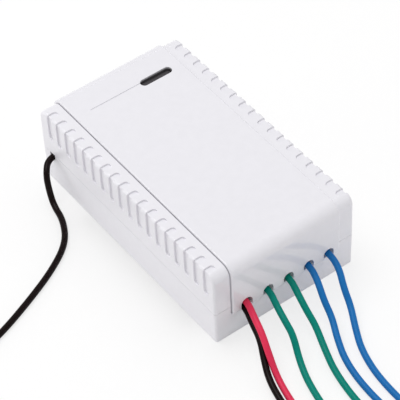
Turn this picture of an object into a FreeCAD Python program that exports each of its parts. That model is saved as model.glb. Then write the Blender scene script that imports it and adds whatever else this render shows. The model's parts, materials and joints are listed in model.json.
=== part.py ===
# Two-channel receiver: a white moulded housing with ribbed side cheeks and a smooth saddle cover.
# Six leads leave the front through five arches, and a wire antenna leaves the left side at the rear.
# Millimetres, +Z up, origin at the bottom centre, the leads towards -Y.
import FreeCAD, Part
import Sketcher
import math
import os
import re

doc = FreeCAD.newDocument("two_channel_receiver")

sizes = {
    # housing
    "housing_width": 40.0,
    "housing_length": 69.2,
    "housing_height": 22.6,
    "parting_height": 9.8,
    "wall": 1.6,
    "end_wall": 2.6,
    "floor_wall": 1.6,
    "base_draft": 0.8,
    "corner_radius": 0.7,
    "foot_radius": 0.3,
    "front_bend": 2.45,
    "rear_bend": 2.6,
    "parting_gap": 0.12,
    "parting_step": 0.25,
    "lip_height": 0.9,
    "lip_thickness": 0.7,
    "lip_length": 40.0,
    "lip_gap": 0.1,
    # saddle cover and the seat for it
    "cover_width": 30.8,
    "cover_wall": 1.5,
    "cover_proud": 0.55,
    "cover_rear_proud": 0.9,
    "cover_rise": 0.35,
    "cover_low": 7.4,
    "cover_bend": 3.0,
    "cover_gap": 0.15,
    "cover_corner": 0.5,
    "cover_rear_corner": 0.6,
    "cover_edge": 0.3,
    "seat_gap": 0.15,
    "ledge_thickness": 1.6,
    "ledge_width": 2.0,
    "step_wall": 1.5,
    "end_ledge": 3.2,
    "tab_length": 6.0,
    "tab_thickness": 1.2,
    "tab_reach": 2.7,
    "tab_spacing": 36.0,
    # grooves of the cheeks
    "groove_count": 18,
    "groove_pitch": 3.64,
    "groove_width": 1.8,
    "groove_depth": 0.45,
    "groove_start": 3.4,
    "groove_low": 14.75,
    "groove_reach": 2.65,
    # indicator window and the line engraved beside it
    "window_x": 7.85,
    "window_from_end": 10.05,
    "window_length": 9.0,
    "window_width": 2.3,
    "window_gap": 0.1,
    "window_recess": 1.15,
    "flange_margin": 1.0,
    "flange_thickness": 0.8,
    "pipe_length": 7.0,
    "pipe_width": 1.8,
    "pipe_clearance": 1.2,
    "line_length": 15.0,
    "line_width": 0.3,
    "line_depth": 0.15,
    "line_offset": 0.4,
    # leads and their notches
    "lead_diameter": 1.6,
    "lead_pitch": 5.85,
    "lead_row_x": 0.5,
    "lead_height": 8.9,
    "notch_radius": 1.45,
    "pair_notch_radius": 1.6,
    "pair_notch_shift": 0.3,
    "pair_notch_drop": 0.75,
    "notch_relief": 0.5,
    "pair_rise": 0.6,
    "pair_drop": 1.05,
    "pair_spread": 0.3,
    "lead_inside": 3.2,
    "wire_end_gap": 0.1,
    "inner_bend": 0.9,
    "conductor_diameter": 0.9,
    "tinned_length": 6.0,
    "antenna_from_end": 3.96,
    "antenna_height": 8.85,
    "antenna_notch_radius": 1.0,
    "antenna_straight": 1.5,
    "antenna_pad_x": -12.2,
    # screws and bosses
    "boss_inset_x": 2.4,
    "boss_inset_y": 6.0,
    "boss_radius": 2.5,
    "pedestal_radius": 3.3,
    "pedestal_height": 3.6,
    "screw_radius": 1.05,
    "screw_clearance": 0.25,
    "screw_head_radius": 2.0,
    "screw_head_height": 1.5,
    "head_recess": 2.2,
    "screw_bite": 5.2,
    "hole_extra": 0.4,
    "cross_share": 0.6,
    "cross_slot_share": 0.12,
    "cross_depth_share": 0.3,
    # circuit board and its posts
    "board_thickness": 1.6,
    "board_gap": 1.0,
    "board_notch_gap": 0.4,
    "post_height": 3.0,
    "post_radius": 2.4,
    "board_screw_radius": 0.9,
    "board_screw_head": 1.9,
    "board_screw_head_height": 1.4,
    "board_screw_length": 3.6,
    "pin_gap": 0.15,
    "part_gap": 0.9,
    # relays
    "relay_length": 15.7,
    "relay_width": 10.6,
    "relay_height": 11.9,
    "relay_gap": 1.6,
    "relay_inset": 7.65,
    "relay_side": 3.1,
    "relay_edge": 0.5,
    "relay_pin_x": 3.8,
    "relay_pin_y": 6.3,
    "relay_pin_radius": 0.4,
    "relay_pin_length": 3.2,
    # small parts on the board
    "solder_radius": 1.1,
    "solder_height": 0.7,
    "pad_inset": 1.8,
    "red_pad_setback": 2.0,
    "capacitor_radius": 3.15,
    "capacitor_height": 8.0,
    "capacitor_rim": 0.4,
    "vent_length": 3.8,
    "vent_width": 0.24,
    "vent_depth": 0.15,
    "diode_length": 4.3,
    "diode_width": 2.6,
    "diode_height": 2.2,
    "diode_terminal": 0.45,
    "diode_foot_width": 1.5,
    "diode_foot_height": 1.0,
    "diode_lift": 0.2,
    "regulator_length": 6.1,
    "regulator_width": 6.6,
    "regulator_height": 2.3,
    "regulator_tab": 1.0,
    "regulator_tab_width": 5.3,
    "regulator_tab_height": 0.6,
    "regulator_leg_place": 2.3,
    "regulator_leg_width": 0.8,
    "regulator_leg_height": 0.5,
    "transistor_length": 2.9,
    "transistor_width": 1.3,
    "transistor_height": 1.0,
    "transistor_lift": 0.1,
    "transistor_leg_place": 0.95,
    "transistor_leg_size": 0.4,
    "chip_length": 8.65,
    "chip_width": 3.9,
    "chip_height": 1.5,
    "chip_standoff": 0.15,
    "chip_leg_reach": 1.05,
    "chip_leg_width": 0.42,
    "chip_leg_pitch": 1.27,
    "chip_legs_per_side": 7,
    "chip_edge": 0.15,
    "resistor_length": 2.0,
    "resistor_width": 1.25,
    "resistor_height": 0.55,
    "resistor_pitch": 2.7,
    "resistor_count": 4,
    "ceramic_height": 0.9,
    "ceramic_pitch": 2.1,
    "ceramic_count": 3,
    "light_length": 2.0,
    "light_width": 1.25,
    "light_height": 0.8,
    "light_spacing": 3.0,
    # radio module
    "radio_depth": 10.0,
    "radio_rear_gap": 3.4,
    "radio_left_gap": 4.4,
    "radio_thickness": 0.8,
    "radio_chip_size": 4.0,
    "radio_chip_height": 0.9,
    "crystal_length": 6.0,
    "crystal_width": 3.5,
    "crystal_height": 1.2,
    "crystal_corner": 1.05,
    "header_pitch": 2.54,
    "header_height": 2.5,
    "header_pin": 0.64,
    "radio_pin_rise": 0.7,
    "radio_pin_radius": 0.58,
    "radio_pin_count": 4,
    # teaching switch and mode link
    "switch_size": 6.0,
    "switch_height": 3.4,
    "switch_margin": 1.6,
    "switch_corner": 0.5,
    "switch_leg_reach": 0.7,
    "switch_leg_place": 2.1,
    "switch_leg_width": 0.7,
    "switch_leg_height": 0.3,
    "button_radius": 1.75,
    "button_rise": 1.6,
    "button_gap": 0.15,
    "button_travel": 0.25,
    "button_depth": 1.2,
    "button_stop_gap": 0.1,
    "button_edge": 0.25,
    "mode_pin_rise": 5.8,
    "jumper_height": 5.4,
    "jumper_margin": 0.25,
    "jumper_seat": 0.2,
    "jumper_bore_gap": 0.08,
}

sheet = doc.addObject("Spreadsheet::Sheet", "sizes")
for row, (name, number) in enumerate(sizes.items(), start=1):
    sheet.set("A%d" % row, name)
    sheet.set("B%d" % row, str(number))
    sheet.setAlias("B%d" % row, name)
doc.recompute()


def linked(text):
    """The same formula with each size's name pointing at its cell."""
    return re.sub(r"[a-z_]+", lambda word: "sizes." + word[0] if word[0] in sizes else word[0], text)


def value(text):
    return float(sheet.evalExpression(linked(text)))


# Places that several pieces share, as formulas of the sizes above
half_width = "(housing_width / 2)"
half_length = "(housing_length / 2)"
inner_x = "(housing_width / 2 - wall)"
inner_y = "(housing_length / 2 - end_wall)"
frame_top = "(housing_height - cover_rise)"
cover_front = "(housing_length / 2 + cover_proud)"
cover_rear = "(housing_length / 2 + cover_rear_proud)"
seat_top = "(housing_height - cover_wall - seat_gap)"
seat_front = f"({cover_front} - cover_wall - seat_gap)"
recess_x = "(cover_width / 2 + cover_gap)"
ledge_low = f"({seat_top} - ledge_thickness)"
opening_x = f"({recess_x} - ledge_width)"
opening_y = f"({seat_front} - end_ledge)"
boss_x = f"({inner_x} - boss_inset_x)"
boss_y = f"({inner_y} - boss_inset_y)"
board_x = f"({inner_x} - board_gap)"
board_y = f"({inner_y} - board_gap)"
board_low = "(floor_wall + post_height)"
board_top = f"({board_low} + board_thickness)"
window_y = f"({cover_rear} - window_from_end)"
pair_x = "(lead_row_x - 2 * lead_pitch - pair_notch_shift)"
antenna_y = "(housing_length / 2 - antenna_from_end)"
joint_top = f"({board_top} + solder_height)"
pad_y = f"(-{board_y} + pad_inset)"
antenna_pad_y = f"({board_y} - pad_inset)"


# Drawing helpers: every point of a sketch is tied to a formula

def new_body(name, group=False):
    body = doc.addObject("PartDesign::Body", name)
    body.Label = name
    body.AllowCompound = group
    return body


def new_sketch(body, name, role, height="0"):
    """A sketch on one of the body's own origin planes, moved along its normal."""
    sketch = body.newObject("Sketcher::SketchObject", f"{body.Name}_{name}")
    plane = [item for item in body.Origin.OriginFeatures if item.Role == role][0]
    sketch.AttachmentSupport = (plane, [""])
    sketch.MapMode = "FlatFace"
    sketch.setExpression("AttachmentOffset.Base.z", linked(height))
    return sketch


def tie(sketch, kind, where, text):
    index = sketch.addConstraint(Sketcher.Constraint(kind, *where, value(text)))
    sketch.setExpression("Constraints[%d]" % index, linked(text))


def tie_point(sketch, geometry, vertex, x, y):
    for kind, axis, text in (("DistanceX", -2, x), ("DistanceY", -1, y)):
        if text == "0":
            sketch.addConstraint(Sketcher.Constraint("PointOnObject", geometry, vertex, axis))
        else:
            tie(sketch, kind, (-1, 1, geometry, vertex), text)


def draw(sketch, corners):
    """A closed outline. A corner is (x, y), or (x, y, centre_x, centre_y, turn) where an arc leads on."""
    placed = [FreeCAD.Vector(value(corner[0]), value(corner[1]), 0) for corner in corners]
    first = sketch.GeometryCount
    count = len(corners)
    ends = []
    for index, corner in enumerate(corners):
        start, end = placed[index], placed[(index + 1) % count]
        if len(corner) == 2:
            sketch.addGeometry(Part.LineSegment(start, end), False)
            ends.append((1, 2))
            continue
        centre = FreeCAD.Vector(value(corner[2]), value(corner[3]), 0)
        forward = corner[4] > 0
        low, high = (start, end) if forward else (end, start)
        angles = [math.atan2(point.y - centre.y, point.x - centre.x) for point in (low, high)]
        circle = Part.Circle(centre, FreeCAD.Vector(0, 0, 1), (start - centre).Length)
        sketch.addGeometry(Part.ArcOfCircle(circle, *angles), False)
        ends.append((1, 2) if forward else (2, 1))
    for index in range(count):
        following = (index + 1) % count
        joined = (first + index, ends[index][1], first + following, ends[following][0])
        sketch.addConstraint(Sketcher.Constraint("Coincident", *joined))
    for index, corner in enumerate(corners):
        tie_point(sketch, first + index, ends[index][0], corner[0], corner[1])
        if len(corner) > 2:
            chord = placed[(index + 1) % count] - placed[index]
            kind, text = ("DistanceY", corner[3]) if abs(chord.x) > abs(chord.y) else ("DistanceX", corner[2])
            tie(sketch, kind, (-1, 1, first + index, 3), text)


def draw_box(sketch, x_low, x_high, y_low, y_high):
    draw(sketch, [(x_low, y_low), (x_high, y_low), (x_high, y_high), (x_low, y_high)])


def draw_circle(sketch, x, y, radius):
    index = sketch.addGeometry(
        Part.Circle(FreeCAD.Vector(value(x), value(y), 0), FreeCAD.Vector(0, 0, 1), value(radius)), False)
    tie_point(sketch, index, 3, x, y)
    tie(sketch, "Radius", (index,), radius)


def draw_slot(sketch, x_low, x_high, y_low, y_high, radius):
    """A stadium between two centres, along x or along y."""
    if x_low == x_high:
        right, left = f"({x_low} + {radius})", f"({x_low} - {radius})"
        draw(sketch, [(right, y_low), (right, y_high, x_low, y_high, 1),
                      (left, y_high), (left, y_low, x_low, y_low, 1)])
    else:
        low, high = f"({y_low} - {radius})", f"({y_low} + {radius})"
        draw(sketch, [(x_low, low), (x_high, low, x_high, y_low, 1),
                      (x_high, high), (x_low, high, x_low, y_low, 1)])


def extrude(body, sketch, length, kind="Pad", symmetric=False, reverse=False, taper=None):
    """A pad, or a pocket that has to remove something."""
    before = body.Tip.Shape.Volume if kind == "Pocket" else 0
    feature = body.newObject("PartDesign::" + kind, sketch.Name + "_" + kind.lower())
    feature.Profile = sketch
    feature.SideType = "Symmetric" if symmetric else "One side"
    feature.Reversed = reverse
    feature.setExpression("Length", linked(length))
    if taper:
        feature.setExpression("TaperAngle", linked(taper))
    sketch.Visibility = False
    doc.recompute()
    if kind == "Pocket" and feature.Shape.Volume > before - 1e-6:
        raise RuntimeError(feature.Name + " removes nothing")
    return feature


def pocket(body, sketch, length, symmetric=False, reverse=False):
    return extrude(body, sketch, length, "Pocket", symmetric, reverse)


def block(body, name, x_low, x_high, y_low, y_high, z_low, z_high, kind="Pad"):
    """A straight block along Z, added or removed."""
    sketch = new_sketch(body, name, "XY_Plane", z_low)
    draw_box(sketch, x_low, x_high, y_low, y_high)
    return extrude(body, sketch, f"({z_high}) - ({z_low})", kind, reverse=(kind == "Pocket"))


def rods(body, name, places, radius, z_low, z_high, kind="Pad"):
    """Upright cylinders at several places, added or removed."""
    sketch = new_sketch(body, name, "XY_Plane", z_low)
    for x, y in places:
        draw_circle(sketch, x, y, radius)
    return extrude(body, sketch, f"({z_high}) - ({z_low})", kind, reverse=(kind == "Pocket"))


def centred_block(body, name, x, y, length, width, z_low, z_high, kind="Pad"):
    return block(body, name, f"{x} - {length} / 2", f"{x} + {length} / 2",
                 f"{y} - {width} / 2", f"{y} + {width} / 2", z_low, z_high, kind)


def round_edges(body, name, radius, chosen):
    """A fillet on the edges of the last feature for which chosen(edge) is true."""
    base = body.Tip
    names = ["Edge%d" % (index + 1) for index, edge in enumerate(base.Shape.Edges) if chosen(edge)]
    feature = body.newObject("PartDesign::Fillet", f"{body.Name}_{name}")
    feature.Base = (base, names)
    feature.setExpression("Radius", linked(radius))
    doc.recompute()
    return feature


def runs_along(edge, axis):
    step = edge.Vertexes[-1].Point - edge.Vertexes[0].Point
    return abs(step[axis]) > 0.98 * edge.Length


def lies_at(edge, axis, text):
    place = value(text)
    box = edge.BoundBox
    low, high = ((box.XMin, box.XMax), (box.YMin, box.YMax), (box.ZMin, box.ZMax))[axis]
    return abs(low - place) < 1e-4 and abs(high - place) < 1e-4


def draw_saddle(sketch, front, rear, top, bend, thickness, low):
    """The cover's bent section: down both ends and over the top."""
    shoulder, inner_top = f"({top} - {bend})", f"({top} - {thickness})"
    front_turn, rear_turn = f"-({front} - {bend})", f"({rear} - {bend})"
    inner_front, inner_rear = f"-({front} - {thickness})", f"({rear} - {thickness})"
    draw(sketch, [
        (f"-{front}", low),
        (f"-{front}", shoulder, front_turn, shoulder, -1),
        (front_turn, top),
        (rear_turn, top, rear_turn, shoulder, -1),
        (rear, shoulder),
        (rear, low),
        (inner_rear, low),
        (inner_rear, shoulder, rear_turn, shoulder, 1),
        (rear_turn, inner_top),
        (front_turn, inner_top, front_turn, shoulder, 1),
        (inner_front, shoulder),
        (inner_front, low),
    ])


single_leads = {
    "green_1": "(lead_row_x - lead_pitch)",
    "green_2": "lead_row_x",
    "blue_1": "(lead_row_x + lead_pitch)",
    "blue_2": "(lead_row_x + 2 * lead_pitch)",
}
boss_places = [(f"{sx}{boss_x}", f"{sy}{boss_y}") for sx in ("", "-") for sy in ("", "-")]
beyond = "(housing_height + 5)"


def draw_openings(sketch, places, height, radius, opens_up):
    """Round openings at one height, each open to the rim above it or below it."""
    low, high = (height, "(parting_height + 3)") if opens_up else ("(cover_low - 4)", height)
    for place in places:
        draw_slot(sketch, place, place, low, high, radius)


def draw_lead_openings(sketch, opens_up, relief="0"):
    pair_height = "(lead_height - pair_notch_drop)" if opens_up else "lead_height"
    draw_openings(sketch, [pair_x], pair_height, f"(pair_notch_radius + {relief})", opens_up)
    draw_openings(sketch, single_leads.values(), "lead_height", f"(notch_radius + {relief})", opens_up)


def cut_lead_notches(body, opens_up):
    """The five openings in the front wall, wider behind the cover so that they stay in its shade."""
    cuts = (("lead_notches", half_length, "0"), ("lead_reliefs", seat_front, "notch_relief"))
    for name, start, relief in cuts:
        sketch = new_sketch(body, name, "XZ_Plane", start)
        draw_lead_openings(sketch, opens_up, relief)
        pocket(body, sketch, "end_wall + 0.5")


def cut_antenna_notch(body):
    sketch = new_sketch(body, "antenna_notch", "YZ_Plane", f"-{half_width} - 1")
    draw_openings(sketch, [antenna_y], "antenna_height", "antenna_notch_radius", opens_up=True)
    pocket(body, sketch, "wall + 1.5", reverse=True)


def cut_saddle_seat(body):
    """The step that the cover drops into, one gap larger than the cover."""
    sketch = new_sketch(body, "saddle_seat", "YZ_Plane")
    more = "(cover_wall + seat_gap + 1)"
    draw_saddle(sketch, f"({cover_front} + 1)", f"({cover_rear} + 1)", "(housing_height + 1)",
                "(cover_bend + 1)", more, "(cover_low - seat_gap)")
    pocket(body, sketch, f"2 * {recess_x}", symmetric=True)


# Base tray: drafted shell with bosses, posts, a locating lip and the lower halves of the wire openings

def make_base_tray():
    body = new_body("base_tray")
    sketch = new_sketch(body, "rim", "XY_Plane", "parting_height")
    draw_box(sketch, f"-{half_width}", half_width, f"-{half_length}", half_length)
    extrude(body, sketch, "parting_height", reverse=True, taper="-base_draft")
    round_edges(body, "corners", "corner_radius", lambda edge: runs_along(edge, 2))
    round_edges(body, "foot", "foot_radius", lambda edge: lies_at(edge, 2, "0"))
    block(body, "cavity", f"-{inner_x}", inner_x, f"-{inner_y}", inner_y, "floor_wall",
          "parting_height + 1", "Pocket")
    rods(body, "pedestals", boss_places, "pedestal_radius", "foot_radius", "pedestal_height")
    rods(body, "bosses", boss_places, "boss_radius", "floor_wall", "parting_height")
    posts = [(left_screw_x, left_screw_y), (right_screw_x, right_screw_y)]
    rests = [("0", f"{board_y} - post_radius"), ("0", f"-{board_y} + post_radius")]
    rods(body, "posts", posts + rests, "post_radius", "floor_wall / 2", board_low)
    rods(body, "post_holes", posts, "board_screw_radius", f"{board_top} - board_screw_length - hole_extra",
         f"{board_low} + 1", "Pocket")
    lip_outer = f"({inner_x} + lip_thickness)"
    for side, x_low, x_high in (("left", f"-{lip_outer}", f"-{inner_x}"), ("right", inner_x, lip_outer)):
        block(body, "lip_" + side, x_low, x_high, "-lip_length / 2", "lip_length / 2",
              "parting_height - 1", "parting_height + lip_height")
    rods(body, "screw_holes", boss_places, "(screw_radius + screw_clearance)", "-1",
         "parting_height + 1", "Pocket")
    rods(body, "head_recesses", boss_places, "(screw_head_radius + screw_clearance)", "-1",
         "head_recess", "Pocket")
    cut_saddle_seat(body)
    cut_lead_notches(body, opens_up=True)
    cut_antenna_notch(body)
    return body


# Side frame: two ribbed cheeks joined at both ends, with a ledge all round for the cover

def make_side_frame():
    body = new_body("side_frame")
    seam_top = "(parting_height + parting_gap)"
    block(body, "shell", f"-{half_width}", half_width, f"-{half_length}", half_length, seam_top, frame_top)
    sketch = new_sketch(body, "end_bends", "YZ_Plane")
    for sign, turn, bend in (("-", -1, "front_bend"), ("", 1, "rear_bend")):
        bend_low = f"({frame_top} - {bend})"
        end, near = f"{sign}{half_length}", f"{sign}({half_length} - {bend})"
        far = f"{sign}({half_length} + 1)"
        draw(sketch, [(end, bend_low, near, bend_low, turn), (near, frame_top),
                      (near, beyond), (far, beyond), (far, bend_low)])
    pocket(body, sketch, "2 * housing_width", symmetric=True)
    round_edges(body, "corners", "corner_radius", lambda edge: runs_along(edge, 2))
    step_x, step_y = f"({half_width} - parting_step)", f"({half_length} - parting_step)"
    block(body, "seam", f"-{step_x}", step_x, f"-{step_y}", step_y, "parting_height", f"({seam_top} + 1)")

    sketch = new_sketch(body, "cavity", "XZ_Plane")
    rib_x = f"({recess_x} + step_wall)"
    ceiling = f"({frame_top} - wall)"
    below = "(parting_height - 1)"
    draw(sketch, [(f"-{inner_x}", below), (inner_x, below), (inner_x, ceiling), (rib_x, ceiling),
                  (rib_x, ledge_low), (f"-{rib_x}", ledge_low), (f"-{rib_x}", ceiling),
                  (f"-{inner_x}", ceiling)])
    pocket(body, sketch, f"2 * {inner_y}", symmetric=True)
    cut_saddle_seat(body)
    block(body, "opening", f"-{opening_x}", opening_x, f"-{opening_y}", opening_y,
          f"{ledge_low} - 1", beyond, "Pocket")
    rods(body, "bosses", boss_places, "boss_radius", "parting_height", f"({ledge_low} + ledge_thickness / 2)")
    rods(body, "pilot_holes", boss_places, "screw_radius", "parting_height - 1",
         "parting_height + screw_bite + hole_extra", "Pocket")
    groove = f"({inner_x} + lip_thickness + lip_gap)"
    block(body, "lip_seat", f"-{groove}", groove, "-lip_length / 2 - lip_gap", "lip_length / 2 + lip_gap",
          "parting_height - 1", "parting_height + lip_height + lip_gap", "Pocket")
    cut_lead_notches(body, opens_up=False)
    cut_grooves(body)
    return body


def cut_grooves(body):
    """One groove on each cheek, bent over the top edge, then repeated along the length."""
    radius = "(groove_width / 2)"
    place = f"({half_length} - groove_start - groove_width / 2)"
    top = new_sketch(body, "groove_tops", "XY_Plane", frame_top)
    inner, outer = f"({half_width} - groove_reach - {radius} + groove_width)", f"({half_width} + 3)"
    draw_slot(top, f"-{outer}", f"-{inner}", place, place, radius)
    draw_slot(top, inner, outer, place, place, radius)
    features = [pocket(body, top, "groove_depth")]
    for side, sign, reverse in (("left", "-", True), ("right", "", False)):
        sketch = new_sketch(body, "groove_" + side, "YZ_Plane", f"{sign}{half_width}")
        draw_slot(sketch, place, place, f"(groove_low + {radius})", beyond, radius)
        features.append(pocket(body, sketch, "groove_depth", reverse=reverse))
    pattern = body.newObject("PartDesign::LinearPattern", "groove_row")
    pattern.Originals = features
    axis = [item for item in body.Origin.OriginFeatures if item.Role == "Y_Axis"][0]
    pattern.Direction = (axis, [""])
    pattern.Reversed = True
    pattern.setExpression("Length", linked("(groove_count - 1) * groove_pitch"))
    pattern.setExpression("Occurrences", linked("groove_count"))
    body.Tip = pattern
    doc.recompute()


# Top cover: a saddle with arches over the wires, a window, an engraved line and four guide tabs

def make_top_cover():
    body = new_body("top_cover")
    sketch = new_sketch(body, "section", "YZ_Plane")
    draw_saddle(sketch, cover_front, cover_rear, "housing_height", "cover_bend", "cover_wall", "cover_low")
    extrude(body, sketch, "cover_width", symmetric=True)
    round_edges(body, "apron_corners", "cover_corner",
                lambda edge: runs_along(edge, 1) and lies_at(edge, 2, "cover_low"))
    outer = [f"-{cover_front}", cover_rear]
    round_edges(body, "rims", "cover_edge",
                lambda edge: runs_along(edge, 2) and any(lies_at(edge, 1, place) for place in outer))
    sketch = new_sketch(body, "rear_corners", "XY_Plane", beyond)
    for sign, turn in (("-", 1), ("", -1)):
        side, far = f"{sign}(cover_width / 2)", f"{sign}(cover_width / 2 + 1)"
        near_x, near_y = f"{sign}(cover_width / 2 - cover_rear_corner)", f"({cover_rear} - cover_rear_corner)"
        draw(sketch, [(near_x, cover_rear, near_x, near_y, turn), (side, near_y), (far, near_y),
                      (far, f"{cover_rear} + 1"), (near_x, f"{cover_rear} + 1")])
    pocket(body, sketch, beyond)

    sketch = new_sketch(body, "arches", "XZ_Plane", cover_front)
    draw_lead_openings(sketch, opens_up=False)
    pocket(body, sketch, "cover_wall + 0.5")

    sketch = new_sketch(body, "window", "XY_Plane", "housing_height")
    reach = "(window_length / 2 - window_width / 2)"
    draw_slot(sketch, f"(window_x - {reach})", f"(window_x + {reach})", window_y, window_y,
              "(window_width / 2)")
    pocket(body, sketch, "cover_wall + 0.5")
    line_y = f"({window_y} + line_offset)"
    line_end = "(window_x - window_length / 2 + window_width / 4)"
    block(body, "engraved_line", f"{line_end} - line_length", line_end, f"{line_y} - line_width / 2",
          f"{line_y} + line_width / 2", "housing_height - line_depth", "housing_height + 1", "Pocket")

    sketch = new_sketch(body, "guide_tabs", "XY_Plane", "(housing_height - cover_wall - tab_reach)")
    tab_outer = f"({opening_x} - cover_gap)"
    tab_inner = f"({tab_outer} - tab_thickness)"
    for end in ("-", ""):
        y_low, y_high = f"({end}tab_spacing / 2 - tab_length / 2)", f"({end}tab_spacing / 2 + tab_length / 2)"
        draw_box(sketch, f"-{tab_outer}", f"-{tab_inner}", y_low, y_high)
        draw_box(sketch, tab_inner, tab_outer, y_low, y_high)
    extrude(body, sketch, "tab_reach + cover_wall / 2")
    return body


def make_indicator_lens():
    """A light pipe: the window's plug, a flange under the cover and a stem down to the lights."""
    body = new_body("indicator_lens")
    under = "(housing_height - cover_wall)"
    centre_reach = "(window_length / 2 - window_width / 2)"
    left, right = f"(window_x - {centre_reach})", f"(window_x + {centre_reach})"
    sketch = new_sketch(body, "flange", "XY_Plane", f"({under} - flange_thickness)")
    draw_slot(sketch, left, right, window_y, window_y, "(window_width / 2 + flange_margin)")
    extrude(body, sketch, "flange_thickness")
    sketch = new_sketch(body, "plug", "XY_Plane", f"({under} - flange_thickness)")
    draw_slot(sketch, left, right, window_y, window_y, "(window_width / 2 - window_gap)")
    extrude(body, sketch, "flange_thickness + cover_wall - window_recess")
    pipe_low = f"({board_top} + light_height + pipe_clearance)"
    centred_block(body, "stem", "window_x", window_y, "pipe_length", "pipe_width", pipe_low, under)
    return body


# Screws, with a head, a shank and a crossed recess in the head

def make_screws(name, places, head_radius, head_low, head_high, shank_radius, shank_end, slot_from_below):
    body = new_body(name, group=True)
    rods(body, "heads", places, head_radius, head_low, head_high)
    if slot_from_below:
        rods(body, "shanks", places, shank_radius, head_high, shank_end)
        slot_low, slot_high = f"({head_low} - 1)", f"({head_low} + {head_radius} * cross_depth_share)"
    else:
        rods(body, "shanks", places, shank_radius, shank_end, head_low)
        slot_low, slot_high = f"({head_high} - {head_radius} * cross_depth_share)", f"({head_high} + 1)"
    arm, half_slot = f"({head_radius} * cross_share)", f"({head_radius} * cross_slot_share)"
    sketch = new_sketch(body, "cross", "XY_Plane", slot_low)
    for x, y in places:
        draw(sketch, [(f"{x} - {arm}", f"{y} - {half_slot}"), (f"{x} - {half_slot}", f"{y} - {half_slot}"),
                      (f"{x} - {half_slot}", f"{y} - {arm}"), (f"{x} + {half_slot}", f"{y} - {arm}"),
                      (f"{x} + {half_slot}", f"{y} - {half_slot}"), (f"{x} + {arm}", f"{y} - {half_slot}"),
                      (f"{x} + {arm}", f"{y} + {half_slot}"), (f"{x} + {half_slot}", f"{y} + {half_slot}"),
                      (f"{x} + {half_slot}", f"{y} + {arm}"), (f"{x} - {half_slot}", f"{y} + {arm}"),
                      (f"{x} - {half_slot}", f"{y} + {half_slot}"), (f"{x} - {arm}", f"{y} + {half_slot}")])
    pocket(body, sketch, f"({slot_high}) - ({slot_low})", reverse=True)
    return body


# Layout of the board: each part's place follows from the board's edges and its neighbours

right_relay_x = f"({board_x} - relay_side - relay_width / 2)"
left_relay_x = f"({right_relay_x} - relay_gap - relay_width)"
relay_y = f"(-{board_y} + relay_inset + relay_length / 2)"
relay_rear = f"(-{board_y} + relay_inset + relay_length)"
left_column_x = f"(-{board_x} + part_gap + regulator_width / 2)"
input_diode_x = f"(-{boss_x} + boss_radius + part_gap + diode_width / 2)"
input_diode_y = f"({pad_y} + red_pad_setback + solder_radius + part_gap + diode_length / 2)"
capacitor_y = f"({input_diode_y} + diode_length / 2 + part_gap + capacitor_radius)"
regulator_y = f"({capacitor_y} + capacitor_radius + part_gap + regulator_tab + regulator_length / 2)"
left_screw_x = f"(-{board_x} + part_gap + post_radius)"
left_screw_y = f"({regulator_y} + regulator_length / 2 + regulator_tab + part_gap + board_screw_head)"
header_y = f"({left_screw_y} + board_screw_head + part_gap + header_pitch)"
right_screw_x = f"({board_x} - part_gap - post_radius)"
right_screw_y = f"({relay_rear} + part_gap + board_screw_head)"
switch_x = f"({board_x} - switch_margin - switch_size / 2)"
switch_y = f"({right_screw_y} + board_screw_head + part_gap + switch_size / 2)"
flyback_y = f"({relay_rear} + part_gap + diode_width / 2)"
transistor_y = f"({flyback_y} + diode_width / 2 + part_gap + transistor_width)"
chip_y = f"({transistor_y} + transistor_width + part_gap + chip_width / 2 + chip_leg_reach)"
resistor_y = f"({chip_y} + chip_width / 2 + chip_leg_reach + part_gap + resistor_width / 2)"
radio_x_low = f"(-{board_x} + radio_left_gap)"
radio_x_high = "(window_x - pipe_length / 2 - part_gap)"
radio_y_high = f"({board_y} - radio_rear_gap)"
radio_y_low = f"({radio_y_high} - radio_depth)"
radio_low = f"({board_top} + header_height)"
radio_top = f"({radio_low} + radio_thickness)"

relay_pins = [(f"{x} {dx} relay_pin_x", f"{relay_y} {dy} relay_pin_y")
              for x in (left_relay_x, right_relay_x) for dx in ("-", "+") for dy in ("-", "+")]


def make_circuit_board():
    body = new_body("circuit_board")
    block(body, "sheet", f"-{board_x}", board_x, f"-{board_y}", board_y, board_low, board_top)
    margin = "(boss_radius + board_notch_gap)"
    outside = f"({board_x} + {margin})"
    sketch = new_sketch(body, "boss_notches", "XY_Plane", f"{board_top} + 1")
    for x, y in boss_places:
        x_low, x_high = (f"-{outside}", x) if x.startswith("-") else (x, outside)
        draw_slot(sketch, x_low, x_high, y, y, margin)
    pocket(body, sketch, "board_thickness + 2")
    screw_places = [(left_screw_x, left_screw_y), (right_screw_x, right_screw_y)]
    rods(body, "screw_holes", screw_places, "(board_screw_radius + pin_gap)", f"{board_low} - 1",
         f"{board_top} + 1", "Pocket")
    rods(body, "pin_holes", relay_pins, "(relay_pin_radius + pin_gap)", f"{board_low} - 1",
         f"{board_top} + 1", "Pocket")
    return body


def make_relay(name, x, pins):
    body = new_body(name)
    centred_block(body, "case", x, relay_y, "relay_width", "relay_length", board_top,
                  f"({board_top} + relay_height)")
    round_edges(body, "corners", "relay_edge", lambda edge: runs_along(edge, 2))
    round_edges(body, "lid", "relay_edge / 2",
                lambda edge: lies_at(edge, 2, f"{board_top} + relay_height"))
    rods(body, "pins", pins, "relay_pin_radius", f"({board_top} - relay_pin_length)",
         f"({board_top} + relay_edge)")
    return body


def make_chip_parts(name, places, length, width, height, along_y=False):
    """Small surface parts: a body between two end caps."""
    body = new_body(name, group=True)
    size_x, size_y = (width, length) if along_y else (length, width)
    sketch = new_sketch(body, "bodies", "XY_Plane", board_top)
    for x, y in places:
        draw_box(sketch, f"{x} - {size_x} / 2", f"{x} + {size_x} / 2", f"{y} - {size_y} / 2",
                 f"{y} + {size_y} / 2")
    extrude(body, sketch, height)
    return body


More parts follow.
